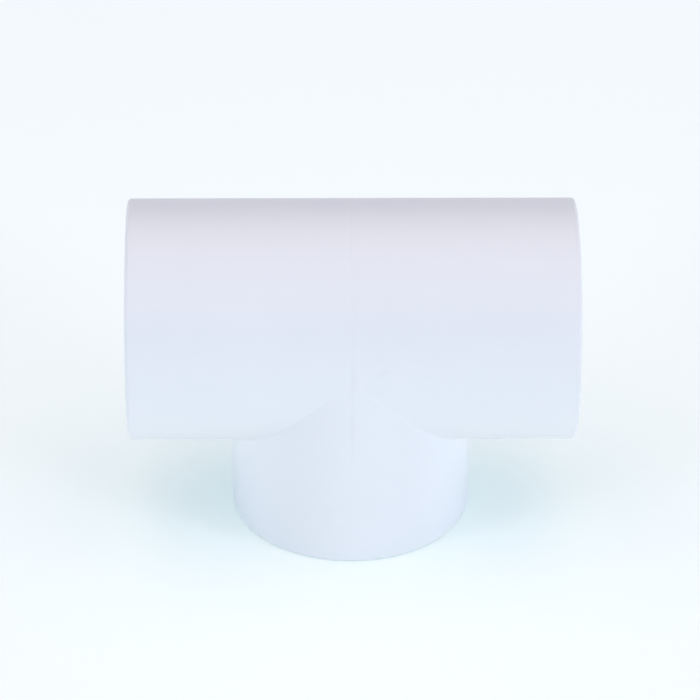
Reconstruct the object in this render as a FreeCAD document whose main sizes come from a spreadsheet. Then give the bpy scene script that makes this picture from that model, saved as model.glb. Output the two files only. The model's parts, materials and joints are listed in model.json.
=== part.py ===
import FreeCAD, Part
import Sketcher
import os

# Equal tee with three plain sockets for solvent-cemented plastic pipe, in millimetres.
# The real tee is a single moulding. Here it is divided, face to face, into its crossing
# and its three socket hubs, so that each region is a simple solid of its own.
# +X runs along the run, and the branch opens along -Z. The origin is the centre of the
# branch rim, which the tee stands on.

DIMENSIONS = (
    # alias, millimetres, meaning
    ("outer_diameter", 70.0, "outside of the run and of the branch"),
    ("socket_diameter", 60.4, "socket wall, at the mean of its slight moulded taper"),
    ("waterway_diameter", 52.5, "waterway, flush with the bore of the pipe"),
    ("run_half_length", 64.7, "branch axis to either rim of the run"),
    ("branch_length", 61.8, "run axis to the branch rim"),
    ("stop_distance", 31.75, "crossing of the axes to each pipe stop"),
    ("hub_start", 36.0, "crossing of the axes to the root of each hub, clear of the other tube"),
    ("rim_round", 1.2, "radius on the outside edge of each rim"),
    ("mouth_chamfer", 1.0, "lead-in at the mouth of each socket"),
    ("stop_chamfer", 0.8, "eased edge where each pipe stop meets the waterway"),
)

PARTS_FOLDER = "parts"
POSITION_TOLERANCE = 1e-4
LEAST_CUT = 1.0
QUARTER_TURN = 90


def make_sheet(doc):
    """The driving dimensions, one row each: meaning, size, and the size's alias."""
    sheet = doc.addObject("Spreadsheet::Sheet", "sizes")
    for row, (alias, size, meaning) in enumerate(DIMENSIONS, start=1):
        sheet.set(f"A{row}", meaning)
        sheet.set(f"B{row}", str(size))
        sheet.setAlias(f"B{row}", alias)
    doc.recompute()
    return sheet


def origin_plane(body, role):
    """One of the body's own origin planes, such as XY_Plane."""
    return next(item for item in body.Origin.OriginFeatures if item.Role == role)


def circle_sketch(body, name, role, diameters, offset=None):
    """A sketch of concentric circles on an origin plane, or at an offset along its normal.

    It is turned a quarter about that normal. On YZ_Plane that starts its circles at the top,
    so the seam of a run surface lies along the top, clear of the saddle where the tubes meet.
    """
    sketch = body.newObject("Sketcher::SketchObject", name)
    sketch.AttachmentSupport = [(origin_plane(body, role), "")]
    sketch.MapMode = "FlatFace"
    normal = FreeCAD.Vector(0, 0, 1)
    turned = FreeCAD.Rotation(normal, QUARTER_TURN)
    sketch.AttachmentOffset = FreeCAD.Placement(FreeCAD.Vector(), turned)
    if offset:
        sketch.setExpression("AttachmentOffset.Base.z", offset)
    for diameter in diameters:
        size = getattr(body.Document.sizes, diameter)
        circle = Part.Circle(FreeCAD.Vector(), normal, size / 2)
        index = sketch.addGeometry(circle, False)
        sketch.addConstraint(Sketcher.Constraint("Coincident", index, 3, -1, 1))
        constraint = sketch.addConstraint(Sketcher.Constraint("Diameter", index, size))
        sketch.setExpression(f"Constraints[{constraint}]", f"sizes.{diameter}")
    return sketch


def pad(body, name, sketch, length, symmetric=False, backwards=False):
    feature = body.newObject("PartDesign::Pad", name)
    feature.Profile = sketch
    feature.SideType = "Symmetric" if symmetric else "One side"
    feature.Reversed = backwards
    feature.setExpression("Length", length)
    body.Document.recompute()
    return feature


def pocket(body, name, sketch, length=None, symmetric=False, backwards=False):
    """A pocket of this length, or right through the solid. One that removes nothing is an error."""
    before = body.Shape.Volume
    feature = body.newObject("PartDesign::Pocket", name)
    feature.Profile = sketch
    feature.SideType = "Symmetric" if symmetric else "One side"
    feature.Reversed = backwards
    if length:
        feature.setExpression("Length", length)
    else:
        feature.Type = "ThroughAll"
    body.Document.recompute()
    if before - body.Shape.Volume < LEAST_CUT:
        raise ValueError(f"{name} removes nothing from {body.Label}")
    return feature


def circular_edges(feature, diameter, centres):
    """Names of the feature's full circles of this diameter about these centres."""
    names = []
    for number, edge in enumerate(feature.Shape.Edges, start=1):
        curve = edge.Curve
        if not isinstance(curve, Part.Circle) or not edge.isClosed():
            continue
        if abs(2 * curve.Radius - diameter) > POSITION_TOLERANCE:
            continue
        if any((curve.Center - centre).Length < POSITION_TOLERANCE for centre in centres):
            names.append(f"Edge{number}")
    if len(names) != len(centres):
        raise ValueError(f"{feature.Label}: {len(names)} edges found for {len(centres)} centres")
    return names


def dress(body, kind, name, base, edges, size_property, size):
    """A fillet or a chamfer on named edges of the base feature."""
    feature = body.newObject(f"PartDesign::{kind}", name)
    feature.Base = (base, edges)
    feature.setExpression(size_property, size)
    body.Document.recompute()
    return feature


def make_centre_body(doc, sheet):
    """The crossing of run and branch, with the waterways, pipe stops and socket roots."""
    body = doc.addObject("PartDesign::Body", "centre_body")
    body.Label = "centre_body"
    body.setExpression("Placement.Base.z", "sizes.branch_length")

    run_outline = circle_sketch(body, "run_outline", "YZ_Plane", ["outer_diameter"])
    pad(body, "run_barrel", run_outline, "2 * sizes.hub_start", symmetric=True)
    branch_outline = circle_sketch(body, "branch_outline", "XY_Plane", ["outer_diameter"])
    pad(body, "branch_barrel", branch_outline, "sizes.hub_start", backwards=True)

    run_bore = circle_sketch(body, "run_bore", "YZ_Plane", ["waterway_diameter"])
    pocket(body, "run_waterway", run_bore, symmetric=True)
    branch_bore = circle_sketch(body, "branch_bore", "XY_Plane", ["waterway_diameter"])
    pocket(body, "branch_waterway", branch_bore)

    root_depth = "sizes.hub_start - sizes.stop_distance"
    branch_mouth = circle_sketch(
        body, "branch_mouth", "XY_Plane", ["socket_diameter"], "-sizes.hub_start"
    )
    pocket(body, "branch_socket_root", branch_mouth, root_depth, backwards=True)
    run_mouth = circle_sketch(body, "run_mouth", "YZ_Plane", ["socket_diameter"], "sizes.hub_start")
    right_root = pocket(body, "right_socket_root", run_mouth, root_depth)
    left_root = body.newObject("PartDesign::Mirrored", "left_socket_root")
    left_root.Originals = [right_root]
    left_root.MirrorPlane = (origin_plane(body, "YZ_Plane"), [""])
    body.Tip = left_root
    doc.recompute()

    stop = sheet.stop_distance
    stop_centres = [
        FreeCAD.Vector(-stop, 0, 0),
        FreeCAD.Vector(stop, 0, 0),
        FreeCAD.Vector(0, 0, -stop),
    ]
    stop_edges = circular_edges(left_root, sheet.waterway_diameter, stop_centres)
    dress(body, "Chamfer", "pipe_stops", left_root, stop_edges, "Size", "sizes.stop_chamfer")
    return body


def make_hub(doc, sheet, name, reach, turn, offset):
    """One socket hub: a tube with a rounded rim and a lead-in at its mouth.

    It is drawn along its own +Z from its root. reach is the distance from the crossing to
    its rim, turn swings it to its side of the tee, and offset puts its root in place.
    """
    body = doc.addObject("PartDesign::Body", name)
    body.Label = name
    body.Placement = FreeCAD.Placement(FreeCAD.Vector(), turn)
    for letter, expression in offset.items():
        body.setExpression(f"Placement.Base.{letter}", expression)

    wall = circle_sketch(body, f"{name}_wall", "XY_Plane", ["outer_diameter", "socket_diameter"])
    tube = pad(body, f"{name}_tube", wall, f"sizes.{reach} - sizes.hub_start")

    rim_centre = [FreeCAD.Vector(0, 0, getattr(sheet, reach) - sheet.hub_start)]
    outside = circular_edges(tube, sheet.outer_diameter, rim_centre)
    rim = dress(body, "Fillet", f"{name}_rim", tube, outside, "Radius", "sizes.rim_round")
    inside = circular_edges(rim, sheet.socket_diameter, rim_centre)
    dress(body, "Chamfer", f"{name}_mouth", rim, inside, "Size", "sizes.mouth_chamfer")
    return body


def make_hubs(doc, sheet):
    """The two run hubs and the branch hub."""
    across = FreeCAD.Vector(0, 1, 0)
    run_height = "sizes.branch_length"
    left = {"x": "-sizes.hub_start", "z": run_height}
    right = {"x": "sizes.hub_start", "z": run_height}
    down = {"z": "sizes.branch_length - sizes.hub_start"}
    hubs = (
        ("run_hub_left", "run_half_length", FreeCAD.Rotation(across, -QUARTER_TURN), left),
        ("run_hub_right", "run_half_length", FreeCAD.Rotation(across, QUARTER_TURN), right),
        ("branch_hub", "branch_length", FreeCAD.Rotation(across, 2 * QUARTER_TURN), down),
    )
    return [make_hub(doc, sheet, *hub) for hub in hubs]


def check_document(doc, bodies):
    """Stop before anything is written if a feature failed or a body isn't one valid solid."""
    for item in doc.Objects:
        if "Invalid" in item.State or "Error" in item.State:
            raise ValueError(f"{item.Label} failed: {item.State}")
    for body in bodies:
        shape = body.Shape
        if shape.isNull() or not shape.isValid() or len(shape.Solids) != 1:
            raise ValueError(f"{body.Label} isn't one valid solid")


def write_parts(bodies):
    os.makedirs(PARTS_FOLDER, exist_ok=True)
    for body in bodies:
        body.Shape.exportStep(f"{PARTS_FOLDER}/{body.Label}.step")


def main():
    doc = FreeCAD.newDocument("socket_tee")
    sheet = make_sheet(doc)
    bodies = [make_centre_body(doc, sheet), *make_hubs(doc, sheet)]
    doc.recompute()
    check_document(doc, bodies)
    write_parts(bodies)
    for body in bodies:
        print(f"{body.Label}: {body.Shape.Volume / 1000:.3f} cm3, {body.Shape.BoundBox}")


main()
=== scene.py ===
import json
import math

import bmesh
import bpy
import numpy as np
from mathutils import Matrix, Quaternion, Vector


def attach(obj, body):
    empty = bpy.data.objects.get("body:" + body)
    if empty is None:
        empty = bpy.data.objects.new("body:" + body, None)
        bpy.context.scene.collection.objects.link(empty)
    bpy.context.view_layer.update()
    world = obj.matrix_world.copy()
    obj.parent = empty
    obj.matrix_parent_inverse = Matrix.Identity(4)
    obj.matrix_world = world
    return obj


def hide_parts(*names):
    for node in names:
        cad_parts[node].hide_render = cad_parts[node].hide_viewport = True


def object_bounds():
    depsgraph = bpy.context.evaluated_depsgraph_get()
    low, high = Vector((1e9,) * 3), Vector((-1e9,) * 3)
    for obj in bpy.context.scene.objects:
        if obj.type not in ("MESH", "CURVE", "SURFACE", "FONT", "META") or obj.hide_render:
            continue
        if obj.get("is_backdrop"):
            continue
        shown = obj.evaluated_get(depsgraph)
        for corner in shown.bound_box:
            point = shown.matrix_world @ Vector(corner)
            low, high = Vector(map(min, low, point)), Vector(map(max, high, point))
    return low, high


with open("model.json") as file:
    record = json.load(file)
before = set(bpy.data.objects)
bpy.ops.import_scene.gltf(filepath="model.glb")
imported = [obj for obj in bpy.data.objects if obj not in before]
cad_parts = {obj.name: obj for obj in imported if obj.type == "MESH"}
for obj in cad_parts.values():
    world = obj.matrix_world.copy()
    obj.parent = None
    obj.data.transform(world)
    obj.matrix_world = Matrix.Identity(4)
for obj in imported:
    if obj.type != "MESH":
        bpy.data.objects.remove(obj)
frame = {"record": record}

MM = 0.001
CAD_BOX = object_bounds()
LOW, HIGH = CAD_BOX

# ---------------------------------------------------------------- sizes from the frame

RECORD = frame["record"]
MOUNTS = {mount["name"]: mount for mount in RECORD["mounts"]}
RUN_SOCKET = MOUNTS["run_socket_right"]
AXIS_Z = RUN_SOCKET["pos_m"][2]
CROSSING = Vector((0, 0, AXIS_Z))
OUTER_RADIUS = HIGH.y
RUN_END = HIGH.x
BRANCH_END = AXIS_Z - LOW.z
SOCKET_RADIUS = RUN_SOCKET["dims"]["r_mm"] * MM
STOP = RUN_SOCKET["pos_m"][0] - RUN_SOCKET["dims"]["length_mm"] * MM / 2
WATERWAY_RADIUS = 26.25 * MM

# ---------------------------------------------------------------- edge treatments, in metres

PARTING_HALF_WIDTH = 0.5 * MM
PARTING_HEIGHT = 0.05 * MM
PARTING_FADE = (-BRANCH_END + 4 * MM, -BRANCH_END + 14 * MM)
SKIN_RADIUS = OUTER_RADIUS - PARTING_HEIGHT
CREASE_RADIUS = 1.1 * MM
FLOW_EDGE_RADIUS = 0.9 * MM
RIM_ROUND = 1.2 * MM
MOUTH_CHAMFER = 1.0 * MM
MOUTH_EASE = 0.35 * MM
STOP_CORNER = 0.6 * MM
STOP_EDGE = 0.8 * MM
TUBE_MARGIN = 0.5 * MM

# ---------------------------------------------------------------- mesh density

PARTING_STEPS = 4
ARC_STEPS = 8
QUARTER_STEPS = 44
GROWTH = 1.7
ALONG_STEP = 1.6 * MM
LONG_STRETCH = 0.8 * MM
EDGE_LOOP = 0.15 * MM
WELD = 2e-7
LEAST_SINE = 1e-9
LEAST_OPENING = 1e-6

# ---------------------------------------------------------------- camera, stage and light

SENSOR_WIDTH = 36
LENS = 220.2
CAMERA_AZIMUTH = -1.0
CAMERA_ELEVATION = 31.1
CAMERA_ROLL = 0.36
CAMERA_DISTANCE = 35.5 * OUTER_RADIUS
CROSSING_ABOVE_CENTRE = 9.15 * MM
CROSSING_RIGHT_OF_CENTRE = 0.45 * MM
FLOOR_SIZE = 8.0
FLOOR_COLOUR = (0.90, 0.92, 0.94)
FLOOR_GLOW = (0.16, 0.21, 0.17)
FLOOR_ROUGHNESS = 0.9
HORIZON_LIGHT = (0.84, 0.87, 0.92)
WALL_LIGHT = (0.08, 0.18, 0.33)
OVERHEAD_LIGHT = (1.38, 1.24, 1.20)
WALL_START = (0.035, 0.075)
CEILING_START = (0.45, 0.95)
SOFTBOX_ELEVATION = 11
SOFTBOX_DISTANCE = 2.6
SOFTBOX_SIZE = 0.95
SOFTBOXES = (
    # name, azimuth in degrees, watts, colour
    ("right", 60, 22.0, (0.86, 0.92, 1.0)),
    ("left", -60, 16.0, (0.87, 0.94, 1.0)),
)

# ---------------------------------------------------------------- white PVC

# Noise, in cycles per metre. The streaks follow the run.
BROAD_SCALE = 24.0
STREAK_SCALES = (18.0, 160.0, 160.0)
PEEL_SCALE = 260.0
GRAIN_SCALE = 420.0
SPECK_SCALE = 1500.0
SPECK_EDGE = (0.80, 0.86)

# Tones, as shares of the base colour, and how strongly each shows.
BROAD_TONES = (0.97, 1.02)
STREAK_TONE, STREAK_SHARE = 0.965, 0.5
WORN_TONE, WORN_SHARE = 0.86, 0.12
# This tone darkens the specks, the scuff and the parting line; on the parting line it is partly
# painted shade.
MARK_AND_SHADE_TONE = 0.55
SPECK_SHARE = 0.10
# The parting line's darkening is a faint tint along the seam and painted shade of its ridge on the
# front.
LINE_SHARE = 0.075
SCUFF_SHARE = 0.07

# Roughness: patches of satin between two values, duller on worn rims, smoother in the bores.
SATIN_PATCHES = (0.3, 0.7)
SATIN = (0.40, 0.48)
WORN_DULLNESS = 0.08
BORE_POLISH = 0.08

# The parting line's tone: (height above the run axis, reach) of its two darkest places, where
# painted shade of the ridge darkens the front.
UPPER_RIDGE_SHADE = (0.5 * MM, 7.0 * MM)
LOWER_RIDGE_SHADE = (-15.5 * MM, 7.0 * MM)
LOWER_RIDGE_SHADE_SHARE = 0.65
# The least strength is the faint tint along the whole seam; the rest is painted shade on the front.
LEAST_LINE = 0.15
LINE_EDGE = (0.1 * MM, 1.4 * MM)
LINE_FADE = (-29 * MM, -20 * MM)

# The scuff: its middle, its tilt, and half its length, depth and height.
SCUFF_MIDDLE = (8.3 * MM, -OUTER_RADIUS, AXIS_Z + 2.7 * MM)
SCUFF_TILT = math.radians(-23)
SCUFF_HALF_SIZE = (2.9 * MM, 8.0 * MM, 1.1 * MM)
SCUFF_EDGE = (0.1, 1.0)

WORN_EDGE = (0.2 * MM, 2.2 * MM)
BORE_LIMIT = (SOCKET_RADIUS + OUTER_RADIUS) / 2
GRAIN_SHARE = 0.35
BUMP_STRENGTH = 0.5
BUMP_DEPTH = 0.03 * MM
IOR = 1.53
SPECULAR_LEVEL = 0.35


def spread(fine, step, end):
    """Positions from 0 to end: fine ones first, then gaps that grow to a regular step."""
    places = [fine * k / PARTING_STEPS for k in range(PARTING_STEPS + 1)]
    gap = fine / PARTING_STEPS
    while gap * GROWTH < step and places[-1] + gap * GROWTH < end / 2:
        gap *= GROWTH
        places.append(places[-1] + gap)
    count = max(2, math.ceil((end - places[-1]) / step))
    return np.array(places + list(np.linspace(places[-1], end, count + 1)[1:]))


QUARTER = spread(PARTING_HALF_WIDTH / OUTER_RADIUS, math.pi / 2 / QUARTER_STEPS, math.pi / 2)
LOWER = np.concatenate([QUARTER, math.pi - QUARTER[-2::-1]])
UPPER = np.linspace(math.pi, 2 * math.pi, 2 * QUARTER_STEPS + 1)[1:]
RUN_ANGLES = np.concatenate([LOWER, UPPER])
BRANCH_ANGLES = np.concatenate([LOWER, 2 * math.pi - LOWER[-2::-1]])


def run_point(along, radius, angle):
    """A point about the run axis. Angle 0 is the front, and a quarter turn is underneath."""
    return np.stack(
        np.broadcast_arrays(along, -radius * np.cos(angle), AXIS_Z - radius * np.sin(angle)), -1
    )


def left_run_point(along, radius, angle):
    return run_point(-along, radius, angle)


def branch_point(along, radius, angle):
    """A point about the branch axis. Angle 0 is the front, and a quarter turn is +X."""
    return np.stack(
        np.broadcast_arrays(radius * np.sin(angle), -radius * np.cos(angle), AXIS_Z - along), -1
    )


class Skin:
    """Grids of points, gathered into one welded mesh."""

    def __init__(self):
        self.points = []
        self.faces = []

    def add(self, grid):
        rows, columns = grid.shape[:2]
        first = len(self.points)
        self.points.extend(map(tuple, grid.reshape(-1, 3)))
        for i in range(rows - 1):
            for j in range(columns - 1):
                corner = first + i * columns + j
                self.faces.append((corner, corner + 1, corner + columns + 1, corner + columns))

    def build(self, name):
        mesh = bpy.data.meshes.new(name)
        mesh.from_pydata(self.points, [], self.faces)
        work = bmesh.new()
        work.from_mesh(mesh)
        bmesh.ops.remove_doubles(work, verts=work.verts, dist=WELD)
        bmesh.ops.dissolve_degenerate(work, edges=work.edges, dist=WELD)
        bmesh.ops.recalc_face_normals(work, faces=work.faces)
        for face in work.faces:
            face.smooth = True
        work.to_mesh(mesh)
        work.free()
        piece = bpy.data.objects.new(name, mesh)
        bpy.context.scene.collection.objects.link(piece)
        return piece


def smooth_step(value, low, high):
    share = np.clip((value - low) / (high - low), 0, 1)
    return share * share * (3 - 2 * share)


def lifted(points):
    """The points, raised where the mould's halves met: a fine ridge in the plane x = 0.

    The ridge stands out of the run above its axis, and straight forwards or backwards below it.
    It fades out before the branch rim.
    """
    x, y, z = points[..., 0], points[..., 1], points[..., 2] - AXIS_Z
    across = np.clip(np.abs(x) / PARTING_HALF_WIDTH, 0, 1)
    height = PARTING_HEIGHT * smooth_step(z, *PARTING_FADE)
    outward = np.stack([0 * y, y, np.clip(z, 0, None)], -1)
    outward /= np.maximum(np.linalg.norm(outward, axis=-1, keepdims=True), WELD)
    return points + outward * (height * np.cos(across * math.pi / 2) ** 2)[..., None]


def crossing_skin(skin, radius, blend, run_reach, branch_reach, finish=lambda points: points):
    """Two equal tubes that cross in a T, with a rolling-ball blend along their saddle.

    The ball rolls at radius + blend from both axes, so it touches the run where its height
    is radius * sin(angle), and the branch where its sideways offset is. At the front and the
    back both tubes share a tangent plane, and the blend shrinks to a point. Every grid goes
    through finish, which moves a point by its place alone, so the grids still meet.
    """
    ball = radius + blend
    angle = RUN_ANGLES[:, None]
    share = spread(PARTING_HALF_WIDTH, ALONG_STEP, run_reach) / run_reach
    start = ball * np.clip(np.sin(angle), 0, None)
    along = start + (run_reach - start) * share
    for tube in (run_point, left_run_point):
        skin.add(finish(tube(along, radius, angle)))

    angle = BRANCH_ANGLES[:, None]
    share = np.linspace(0, 1, math.ceil(branch_reach / ALONG_STEP) + 1)
    start = ball * np.abs(np.sin(angle))
    skin.add(finish(branch_point(start + (branch_reach - start) * share, radius, angle)))

    angle = LOWER[:, None]
    sine, cosine = np.sin(angle), np.cos(angle)
    to_run = np.concatenate([0 * sine, cosine, sine], -1)[:, None, :]
    to_branch = np.concatenate([-sine, cosine, 0 * sine], -1)[:, None, :]
    opening = np.arccos(np.clip(cosine**2, -1, 1))[:, None, :]
    part = np.linspace(0, 1, ARC_STEPS + 1)[None, :, None]
    safe = np.maximum(np.sin(opening), LEAST_SINE)
    arc = (np.sin((1 - part) * opening) * to_run + np.sin(part * opening) * to_branch) / safe
    arc = np.where(opening < LEAST_OPENING, to_run, arc)
    centre = np.concatenate([ball * sine, -ball * cosine, AXIS_Z - ball * sine], -1)[:, None, :]
    strip = centre + blend * arc
    skin.add(finish(strip))
    skin.add(finish(strip * np.array([-1.0, 1.0, 1.0])))


def rounded_profile(corners):
    """An outline of (along, radius) points, from corners of (along, radius, rounding)."""
    outline = [corners[0][:2]]
    for (a0, r0, _), (a1, r1, rounding), (a2, r2, _) in zip(corners, corners[1:], corners[2:]):
        corner = Vector((a1, r1))
        back = (Vector((a0, r0)) - corner).normalized()
        onward = (Vector((a2, r2)) - corner).normalized()
        half = back.angle(onward) / 2
        centre = corner + (back + onward).normalized() * rounding / math.sin(half)
        first = corner + back * rounding / math.tan(half) - centre
        last = corner + onward * rounding / math.tan(half) - centre
        start = math.atan2(first.y, first.x)
        sweep = math.remainder(math.atan2(last.y, last.x) - start, 2 * math.pi)
        for k in range(ARC_STEPS + 1):
            turn = start + sweep * k / ARC_STEPS
            along = centre.x + rounding * math.cos(turn)
            outline.append((along, centre.y + rounding * math.sin(turn)))
    outline.append(corners[-1][:2])
    return outline


def divided(outline):
    """The outline with its long stretches cut into steps, and a close loop beside each arc."""
    points = [outline[0]]
    for (a0, r0), (a1, r1) in zip(outline, outline[1:]):
        length = math.hypot(a1 - a0, r1 - r0)
        edge = min(EDGE_LOOP, length / 4) / length if length > LONG_STRETCH else 0
        count = math.ceil(length / ALONG_STEP)
        shares = list(np.linspace(0, 1, count + 1)[1:-1])
        if edge:
            shares = [edge] + [s for s in shares if edge < s < 1 - edge] + [1 - edge]
        points += [(a0 + (a1 - a0) * s, r0 + (r1 - r0) * s) for s in shares + [1.0]]
    return points


def socket_skin(skin, tube, angles, reach, tube_end, waterway_end):
    """The rim, mouth, socket wall and pipe stop at one end of a tube, as one turned profile."""
    corners = [
        (tube_end, SKIN_RADIUS, 0),
        (reach, SKIN_RADIUS, RIM_ROUND),
        (reach, SOCKET_RADIUS + MOUTH_CHAMFER, MOUTH_EASE),
        (reach - MOUTH_CHAMFER, SOCKET_RADIUS, MOUTH_EASE),
        (STOP, SOCKET_RADIUS, STOP_CORNER),
        (STOP, WATERWAY_RADIUS, STOP_EDGE),
        (waterway_end, WATERWAY_RADIUS, 0),
    ]
    outline = np.array(divided(rounded_profile(corners)))
    skin.add(tube(outline[None, :, 0], outline[None, :, 1], angles[:, None]))


def make_tee():
    """The whole moulding as one closed skin, inside and out."""
    skin = Skin()
    run_tube_end = RUN_END - RIM_ROUND - TUBE_MARGIN
    branch_tube_end = BRANCH_END - RIM_ROUND - TUBE_MARGIN
    waterway_end = STOP - STOP_EDGE - TUBE_MARGIN
    crossing_skin(skin, SKIN_RADIUS, CREASE_RADIUS, run_tube_end, branch_tube_end, lifted)
    crossing_skin(skin, WATERWAY_RADIUS, FLOW_EDGE_RADIUS, waterway_end, waterway_end)
    for tube in (run_point, left_run_point):
        socket_skin(skin, tube, RUN_ANGLES, RUN_END, run_tube_end, waterway_end)
    socket_skin(skin, branch_point, BRANCH_ANGLES, BRANCH_END, branch_tube_end, waterway_end)
    tee = skin.build("tee_moulding")
    tee.modifiers.new("even_shading", "WEIGHTED_NORMAL")
    return tee


class Shader:
    """Short calls that make and join the nodes of one material or of the world."""

    def __init__(self, owner):
        owner.use_nodes = True
        self.tree = owner.node_tree
        self.tree.nodes.clear()

    def fill(self, socket, value):
        """Give an input a value, or join it to an output."""
        if isinstance(value, bpy.types.NodeSocket):
            self.tree.links.new(value, socket)
        else:
            socket.default_value = value

    def node(self, kind, inputs, **settings):
        made = self.tree.nodes.new(kind)
        for name, value in settings.items():
            setattr(made, name, value)
        for name, value in inputs.items():
            self.fill(made.inputs[name], value)
        return made

    def math(self, operation, *values):
        return self.node("ShaderNodeMath", dict(enumerate(values)), operation=operation).outputs[0]

    def length(self, vector):
        made = self.node("ShaderNodeVectorMath", {0: vector}, operation="LENGTH")
        return made.outputs["Value"]

    def ramp(self, value, start, end, low=0.0, high=1.0):
        """Value turned smoothly from low at start to high at end."""
        inputs = {"Value": value, "From Min": start, "From Max": end, "To Min": low, "To Max": high}
        return self.node("ShaderNodeMapRange", inputs, interpolation_type="SMOOTHSTEP").outputs[0]

    def hump(self, value, centre, reach):
        """One at the centre, smoothly down to nothing at reach on either side."""
        away = self.math("ABSOLUTE", self.math("SUBTRACT", value, centre))
        return self.ramp(away, 0.0, reach, 1.0, 0.0)

    def noise(self, place, scale, detail):
        inputs = {"Vector": place, "Scale": scale, "Detail": detail}
        return self.node("ShaderNodeTexNoise", inputs).outputs["Fac"]

    def blend(self, share, first, second):
        """The colour first, turned into second by share."""
        made = self.node("ShaderNodeMix", {}, data_type="RGBA")
        for name, value in {"Factor": share, "A": first, "B": second}.items():
            self.fill(next(i for i in made.inputs if i.name == name and i.enabled), value)
        return next(o for o in made.outputs if o.enabled)


def tinted(colour, share):
    """A colour scaled by share, with its alpha."""
    return (*(channel * share for channel in colour[:3]), 1.0)


def inside_mask(shader, x, y, height):
    """One in the bores and nothing on the outside. The branch ends at the run axis."""
    across_run = shader.node("ShaderNodeCombineXYZ", {1: y, 2: height}).outputs[0]
    across_branch = shader.node("ShaderNodeCombineXYZ", {0: x, 1: y}).outputs[0]
    above_axis = shader.math("GREATER_THAN", height, 0.0)
    from_branch = shader.math("ADD", shader.length(across_branch), above_axis)
    nearest = shader.math("MINIMUM", shader.length(across_run), from_branch)
    return shader.math("LESS_THAN", nearest, BORE_LIMIT)


def seam_tint_and_ridge_shade_mask(shader, x, y, height):
    """Where the parting line is darkened: a faint tint all along the seam, and painted shade of its
    ridge at two places at the front, and not near the rim.
    """
    # Painted shade of the ridge: two humps, kept to the front; the least strength is the faint seam
    # tint.
    lower_ridge_shade = shader.math("MULTIPLY", shader.hump(height, *LOWER_RIDGE_SHADE), LOWER_RIDGE_SHADE_SHARE)
    ridge_shade = shader.math("ADD", shader.hump(height, *UPPER_RIDGE_SHADE), lower_ridge_shade)
    ridge_shade = shader.math("MULTIPLY", ridge_shade, shader.math("LESS_THAN", y, 0.0))
    strength = shader.math("MULTIPLY_ADD", ridge_shade, 1.0 - LEAST_LINE, LEAST_LINE)
    across = shader.ramp(shader.math("ABSOLUTE", x), *LINE_EDGE, 1.0, 0.0)
    line = shader.math("MULTIPLY", across, shader.ramp(height, *LINE_FADE))
    return shader.math("MULTIPLY", line, strength)


def scuff_mask(shader, place):
    """A faint scuff on the front, a little to the right of the parting line."""
    inputs = {
        "Vector": place,
        "Location": SCUFF_MIDDLE,
        "Rotation": (0.0, SCUFF_TILT, 0.0),
        "Scale": SCUFF_HALF_SIZE,
    }
    in_scuff = shader.node("ShaderNodeMapping", inputs, vector_type="TEXTURE").outputs[0]
    return shader.ramp(shader.length(in_scuff), *SCUFF_EDGE, 1.0, 0.0)


def streak_noise(shader, place):
    inputs = {0: place, 1: STREAK_SCALES}
    stretched = shader.node("ShaderNodeVectorMath", inputs, operation="MULTIPLY")
    return shader.noise(stretched.outputs["Vector"], 1.0, 3.0)


def white_pvc(colour):
    """Rigid white PVC as moulded: a satin skin, and sockets left smoother by polished cores. The
    colour holds painted shade along the parting line at the front.
    """
    material = bpy.data.materials.new("white_pvc")
    shader = Shader(material)
    place = shader.node("ShaderNodeTexCoord", {}).outputs["Object"]
    x, y, z = shader.node("ShaderNodeSeparateXYZ", {0: place}).outputs
    height = shader.math("SUBTRACT", z, AXIS_Z)

    inside = inside_mask(shader, x, y, height)
    line = seam_tint_and_ridge_shade_mask(shader, x, y, height)
    scuff = scuff_mask(shader, place)
    to_run_rim = shader.math("SUBTRACT", RUN_END, shader.math("ABSOLUTE", x))
    worn = shader.ramp(shader.math("MINIMUM", to_run_rim, z), *WORN_EDGE, 1.0, 0.0)
    broad = shader.noise(place, BROAD_SCALE, 3.0)
    specks = shader.ramp(shader.noise(place, SPECK_SCALE, 0.0), *SPECK_EDGE)

    tone = shader.blend(broad, *(tinted(colour, share) for share in BROAD_TONES))
    for mask, share, shade in (
        (streak_noise(shader, place), STREAK_SHARE, STREAK_TONE),
        (specks, SPECK_SHARE, MARK_AND_SHADE_TONE),
        # the parting line: a faint seam tint, with painted shade of the ridge on the front
        (line, LINE_SHARE, MARK_AND_SHADE_TONE),
        (scuff, SCUFF_SHARE, MARK_AND_SHADE_TONE),
        (worn, WORN_SHARE, WORN_TONE),
    ):
        tone = shader.blend(shader.math("MULTIPLY", mask, share), tone, tinted(colour, shade))

    rough = shader.ramp(broad, *SATIN_PATCHES, *SATIN)
    rough = shader.math("ADD", rough, shader.math("MULTIPLY", worn, WORN_DULLNESS))
    rough = shader.math("SUBTRACT", rough, shader.math("MULTIPLY", inside, BORE_POLISH))

    grain = shader.math("MULTIPLY", shader.noise(place, GRAIN_SCALE, 3.0), GRAIN_SHARE)
    relief = shader.math("ADD", shader.noise(place, PEEL_SCALE, 1.0), grain)
    bump = shader.node(
        "ShaderNodeBump", {"Height": relief, "Strength": BUMP_STRENGTH, "Distance": BUMP_DEPTH}
    )

    surface = shader.node(
        "ShaderNodeBsdfPrincipled",
        {
            "Base Color": tone,
            "Roughness": rough,
            "Normal": bump.outputs[0],
            "IOR": IOR,
            "Specular IOR Level": SPECULAR_LEVEL,
        },
    )
    shader.node("ShaderNodeOutputMaterial", {"Surface": surface.outputs[0]})
    return material


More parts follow.
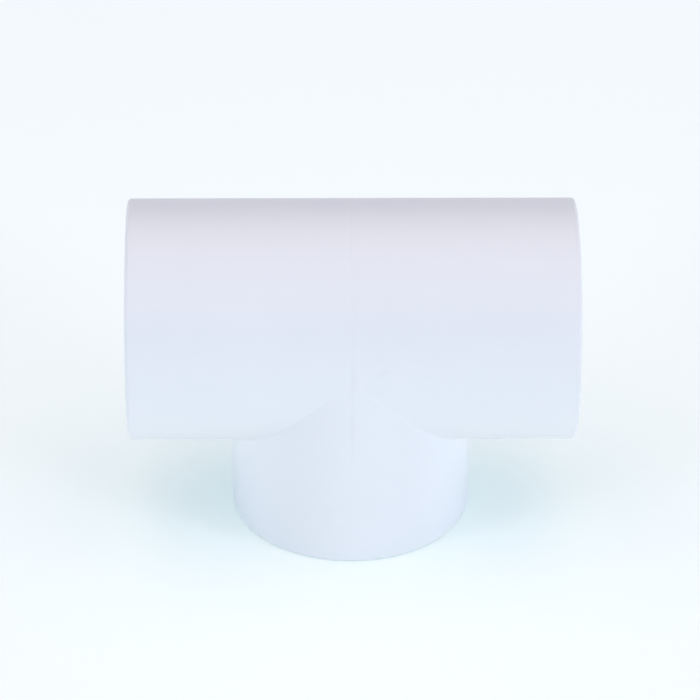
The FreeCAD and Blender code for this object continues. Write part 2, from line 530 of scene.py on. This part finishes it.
def make_world():
    """Soft studio surroundings: a pale horizon, dim cool walls and a bright ceiling.

    Height is that of a unit vector towards the surroundings, so 1 is straight up.
    """
    world = bpy.data.worlds.new("studio")
    bpy.context.scene.world = world
    shader = Shader(world)
    towards = shader.node("ShaderNodeTexCoord", {}).outputs["Generated"]
    height = shader.node("ShaderNodeSeparateXYZ", {0: towards}).outputs[2]
    horizon, wall, overhead = (
        (*light, 1.0) for light in (HORIZON_LIGHT, WALL_LIGHT, OVERHEAD_LIGHT)
    )
    walls = shader.blend(shader.ramp(height, *WALL_START), horizon, wall)
    sky = shader.blend(shader.ramp(height, *CEILING_START), walls, overhead)
    background = shader.node("ShaderNodeBackground", {"Color": sky})
    shader.node("ShaderNodeOutputWorld", {"Surface": background.outputs[0]})


def make_floor():
    """A pale seamless floor at the foot of the tee, which glows a little."""
    mesh = bpy.data.meshes.new("floor")
    half = FLOOR_SIZE / 2
    corners = [(-half, -half, 0), (half, -half, 0), (half, half, 0), (-half, half, 0)]
    mesh.from_pydata(corners, [], [(0, 1, 2, 3)])
    floor = bpy.data.objects.new("floor", mesh)
    bpy.context.scene.collection.objects.link(floor)
    material = bpy.data.materials.new("floor_paper")
    shader = Shader(material)
    surface = shader.node(
        "ShaderNodeBsdfPrincipled",
        {
            "Base Color": (*FLOOR_COLOUR, 1.0),
            "Roughness": FLOOR_ROUGHNESS,
            "Specular IOR Level": 0.0,
            "Emission Color": (*FLOOR_GLOW, 1.0),
            "Emission Strength": 1.0,
        },
    )
    shader.node("ShaderNodeOutputMaterial", {"Surface": surface.outputs[0]})
    mesh.materials.append(material)
    floor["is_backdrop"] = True


def direction(azimuth, elevation):
    """A unit vector towards a place round the tee. Azimuth 0 is the front, and 90 is +X."""
    turn, rise = math.radians(azimuth), math.radians(elevation)
    return Vector(
        (math.sin(turn) * math.cos(rise), -math.cos(turn) * math.cos(rise), math.sin(rise))
    )


def facing(view, roll=0.0):
    """The rotation that makes a camera or a light look along view."""
    return view.to_track_quat("-Z", "Y") @ Quaternion((0, 0, 1), math.radians(roll))


def make_softbox(name, azimuth, power, colour):
    light = bpy.data.lights.new(name, "AREA")
    light.shape = "DISK"
    light.size = SOFTBOX_SIZE
    light.energy = power
    light.color = colour
    softbox = bpy.data.objects.new(name, light)
    softbox.visible_camera = False
    outward = direction(azimuth, SOFTBOX_ELEVATION)
    softbox.location = CROSSING + outward * SOFTBOX_DISTANCE
    softbox.rotation_mode = "QUATERNION"
    softbox.rotation_quaternion = facing(-outward)
    bpy.context.scene.collection.objects.link(softbox)


def make_camera():
    """The camera, with the crossing a little above and to the right of the picture's centre."""
    camera = bpy.data.objects.new("camera", bpy.data.cameras.new("camera"))
    camera.data.sensor_width = SENSOR_WIDTH
    camera.data.lens = LENS
    back = direction(CAMERA_AZIMUTH, CAMERA_ELEVATION)
    camera.location = CROSSING + back * CAMERA_DISTANCE
    offset = Vector((CROSSING_RIGHT_OF_CENTRE, CROSSING_ABOVE_CENTRE, 0))
    centre = CROSSING - facing(-back, CAMERA_ROLL) @ offset
    camera.rotation_mode = "QUATERNION"
    camera.rotation_quaternion = facing(centre - camera.location, CAMERA_ROLL)
    bpy.context.scene.collection.objects.link(camera)
    bpy.context.scene.camera = camera


make_camera()
make_world()
make_floor()
for softbox in SOFTBOXES:
    make_softbox(*softbox)
bpy.context.scene.view_settings.view_transform = "Standard"

tee = make_tee()
tee.data.materials.append(white_pvc(RECORD["materials"][0]["base_color"]))
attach(tee, "root")
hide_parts("centre_body", "run_hub_left", "run_hub_right", "branch_hub")

VISUAL_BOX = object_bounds()
boxes = {"cad": CAD_BOX, "visual": VISUAL_BOX}
{name: [list(corner) for corner in box] for name, box in boxes.items()}
